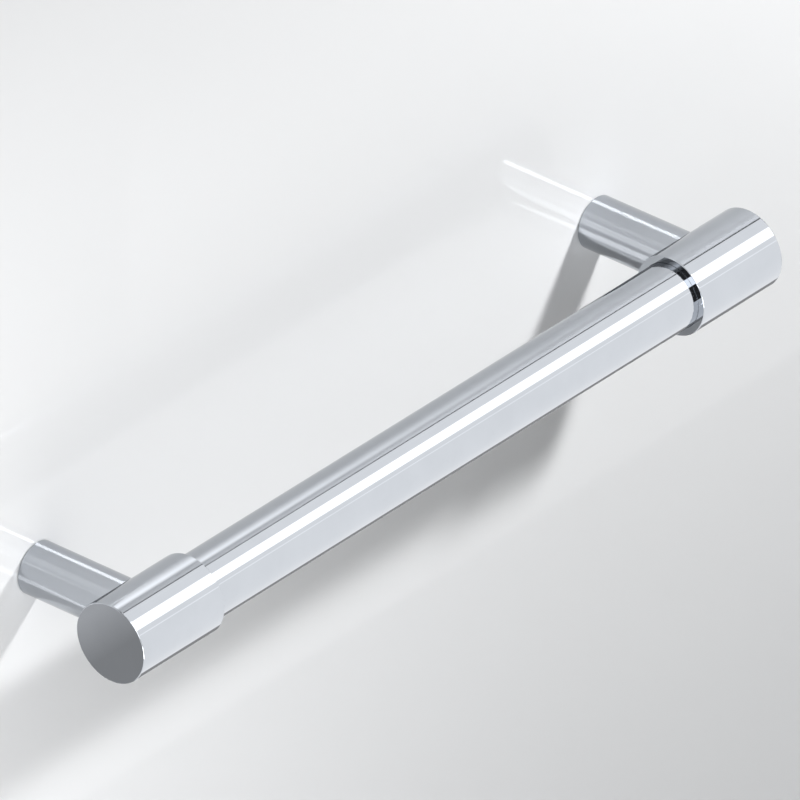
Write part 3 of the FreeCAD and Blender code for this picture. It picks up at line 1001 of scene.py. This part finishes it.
def keep_to_metal(board):
    """Lets a board of the stage show in polished metal alone."""
    board.visible_camera = False
    board.visible_diffuse = False
    board.visible_shadow = False


def wall_card(name, span, material):
    """Upright card just clear of the panel, from its left, right, bottom and top."""
    left, right, bottom, top = span
    keep_to_metal(plane(name, [
        (left, -WALL_CARD_GAP, bottom), (right, -WALL_CARD_GAP, bottom),
        (right, -WALL_CARD_GAP, top), (left, -WALL_CARD_GAP, top),
    ], material))


def soft_box(name, place, aim, size, power, mirrored=False):
    """Rectangular lamp that faces a point: a mirrored one shows in metal and glass alone, any other only lights."""
    lamp = bpy.data.lights.new(name, "AREA")
    lamp.shape = "RECTANGLE"
    lamp.size, lamp.size_y = size
    lamp.energy = power
    holder = bpy.data.objects.new(name, lamp)
    holder.location = place
    holder.rotation_euler = (Vector(aim) - Vector(place)).to_track_quat("-Z", "Y").to_euler()
    holder.visible_camera = False
    holder.visible_diffuse = not mirrored
    holder.visible_glossy = mirrored
    holder.visible_transmission = mirrored
    bpy.context.scene.collection.objects.link(holder)


def light_card(name, place, aim, size, level):
    """Lamp that only metal and glass show, with the level that they show."""
    soft_box(name, place, aim, size, level * math.pi * size[0] * size[1], mirrored=True)


def beside_bar(rise, spread, length, shift):
    """Place, aim and size of a card that the whole bar mirrors, at an angle about the bar and shifted along it."""
    out = Vector((0, -math.cos(rise), math.sin(rise)))
    place = Vector((shift, BAR_Y, 0)) + out * CARD_DISTANCE
    return place, place - out, (length, 2 * CARD_DISTANCE * math.tan(spread / 2))


class HANDLE_OT_stage(bpy.types.Operator):
    """Gloss panel, pale floor, surround, lamps and the camera at the photograph's view"""

    bl_idname = "handle.stage"
    bl_label = "Stage"

    def execute(self, context):
        self.panel_and_floor(context)
        self.surround(context)
        self.lamps(context)
        self.cards(context)
        self.camera(context)
        context.scene.view_settings.view_transform = "Standard"
        return {"FINISHED"}

    def panel_and_floor(self, context):
        """Upright panel at the front face of the glass, and a floor well below it."""
        reach = 2.0
        behind_glass_face = GLASS_FRONT + 0.02 * MM
        floor_depth = -0.45
        plane("gloss_panel", [
            (-reach, behind_glass_face, floor_depth), (reach, behind_glass_face, floor_depth),
            (reach, behind_glass_face, PANEL_TOP), (-reach, behind_glass_face, PANEL_TOP),
        ], finish_of(context, gloss_panel))
        plane("pale_floor", [
            (-reach, -reach, floor_depth), (reach, -reach, floor_depth),
            (reach, reach, floor_depth), (-reach, reach, floor_depth),
        ], finish_of(context, pale_floor))

    def surround(self, context):
        """World that metal and the camera see as pale, and that lights matt faces softly."""
        world = bpy.data.worlds.new("pale_surround")
        world.use_nodes = True
        tree = world.node_tree
        tree.nodes.clear()
        path = add_node(tree, "ShaderNodeLightPath").outputs
        mirrored = calculate(tree, "MAXIMUM", path["Is Glossy Ray"], path["Is Transmission Ray"])
        lights = context.scene.handle_lights
        unseen = add_node(tree, "ShaderNodeMapRange", {"Value": mirrored, "To Min": lights.room,
                                                      "To Max": lights.mirrored_room}).outputs[0]
        strength = add_node(tree, "ShaderNodeMapRange", {"Value": path["Is Camera Ray"], "To Min": unseen,
                                                        "To Max": 1.0}).outputs[0]
        sky = tuple(context.scene.handle_colours.sky)
        light = add_node(tree, "ShaderNodeBackground", {"Color": sky, "Strength": strength})
        add_node(tree, "ShaderNodeOutputWorld", {"Surface": light.outputs[0]})
        context.scene.world = world

    def lamps(self, context):
        """Small key lamp high on the right for the shadows, and a wide soft fill on the left."""
        lights = context.scene.handle_lights
        soft_box("key_lamp", KEY_PLACE, KEY_AIM, KEY_SIZE, lights.key)
        soft_box("fill_lamp", FILL_PLACE, (0, 0, 0), FILL_SIZE, lights.fill)

    def cards(self, context):
        """Cards whose mirror images draw the stripes on the bar, the sockets and the posts."""
        lights = context.scene.handle_lights
        slant = MIRROR_SLANT * CARD_DISTANCE
        bar_stripe = beside_bar(BAR_STRIPE_RISE, BAR_STRIPE_SPREAD, BAR_STRIPE_LENGTH, BAR_STRIPE_SHIFT)
        rim_stripe = beside_bar(BAR_STRIPE_RISE, BAR_STRIPE_SPREAD, RIM_STRIPE_LENGTH, RIM_STRIPE_SHIFT)
        thin_stripe = beside_bar(THIN_STRIPE_RISE, THIN_STRIPE_SPREAD, THIN_STRIPE_LENGTH, slant)
        light_card("bar_stripe_card", *bar_stripe, lights.bar_stripe)
        light_card("rim_stripe_card", *rim_stripe, lights.rim_stripe)
        light_card("thin_stripe_card", *thin_stripe, lights.thin_stripe)
        light_card("post_stripe_card", POST_CARD_PLACE, (0, 0, 0), POST_CARD_SIZE, lights.post_stripe)
        light_card("upper_side_card", UPPER_SIDE_PLACE, (0, 0, 0), UPPER_SIDE_SIZE, lights.upper_side)
        light_card("lower_side_card", LOWER_SIDE_PLACE, (0, 0, 0), LOWER_SIDE_SIZE, lights.lower_side)
        # The end and low cards are painted shade: dim glowing sheets that metal mirrors in place of the panel in
        # shadow, for the end cap's shaded face and the bar's dark lower edge
        end_levels = (lights.end_card_low, lights.end_card_high)
        low_levels = (lights.low_card_low, lights.low_card_high)
        wall_card("end_card", END_CARD, grey_card("end_card", *end_levels, END_CARD_FADE))
        wall_card("low_card", LOW_CARD, grey_card("low_card", *low_levels, LOW_CARD_FADE))
        # The streak card is a painted reflection: a glow on the panel, seen only in metal, that stands in for a soft
        # light's reflection in the glossy panel
        wall_card("streak_card", STREAK_CARD, streak_card(lights))
        flag = turned("dark_flag", [(FLAG_X, FLAG_INNER), (FLAG_X, FLAG_OUTER)], Vector(), Vector((1, 0, 0)),
                      Vector((0, 0, 1)), PLAIN_COLUMNS)
        flag.data.materials.append(dark_flag(lights))
        keep_to_metal(flag)

    def camera(self, context):
        """Long lens at the photograph's angle."""
        azimuth, elevation = VIEW_AZIMUTH, VIEW_ELEVATION
        right = Vector((math.cos(azimuth), math.sin(azimuth), 0))
        back = Vector((
            math.sin(azimuth) * math.cos(elevation), -math.cos(azimuth) * math.cos(elevation), math.sin(elevation)
        ))
        up = back.cross(right)
        lens = bpy.data.cameras.new("photo_view")
        lens.lens = VIEW_LENS
        lens.sensor_width = VIEW_SENSOR
        lens.clip_start = VIEW_DISTANCE / 100
        lens.clip_end = VIEW_DISTANCE * 2
        holder = bpy.data.objects.new("photo_view", lens)
        holder.location = Vector((0, BAR_Y, 0)) + back * VIEW_DISTANCE - right * VIEW_LEFT + up * VIEW_ABOVE
        holder.rotation_euler = (-back).to_track_quat("-Z", "Y").to_euler()
        context.scene.collection.objects.link(holder)
        context.scene.camera = holder


class HANDLE_PT_panel(bpy.types.Panel):
    """Sidebar panel that lists the handle's steps"""

    bl_idname = "HANDLE_PT_panel"
    bl_label = "Shower Door Handle"
    bl_space_type = "VIEW_3D"
    bl_region_type = "UI"
    bl_category = "Handle"

    def draw(self, context):
        for step in STEPS:
            self.layout.operator(step.bl_idname)
        for group in ("handle_sizes", "handle_colours", "handle_lights"):
            settings = getattr(context.scene, group)
            box = self.layout.box()
            for name in settings.__annotations__:
                box.prop(settings, name)


STEPS = (
    HANDLE_OT_stage,
    HANDLE_OT_grip_tube,
    HANDLE_OT_end_sockets,
    HANDLE_OT_posts,
    HANDLE_OT_cup_washers,
    HANDLE_OT_clear_seals,
    HANDLE_OT_screws,
    HANDLE_OT_tube_plugs,
)
GROUPS = {"handle_sizes": HandleSizes, "handle_colours": HandleColours, "handle_lights": HandleLights}


def register():
    """Adds the settings, the steps and the panel."""
    for name, group in GROUPS.items():
        bpy.utils.register_class(group)
        setattr(bpy.types.Scene, name, bpy.props.PointerProperty(type=group))
    for item in (*STEPS, HANDLE_PT_panel):
        bpy.utils.register_class(item)


def unregister():
    """Takes them away again."""
    for item in (HANDLE_PT_panel, *reversed(STEPS)):
        bpy.utils.unregister_class(item)
    for name, group in GROUPS.items():
        delattr(bpy.types.Scene, name)
        bpy.utils.unregister_class(group)


def main():
    """Makes the handle step by step."""
    register()
    bpy.ops.handle.stage()
    bpy.ops.handle.grip_tube()
    bpy.ops.handle.end_sockets()
    bpy.ops.handle.posts()
    bpy.ops.handle.cup_washers()
    bpy.ops.handle.clear_seals()
    bpy.ops.handle.screws()
    bpy.ops.handle.tube_plugs()


if __name__ == "__main__":
    main()
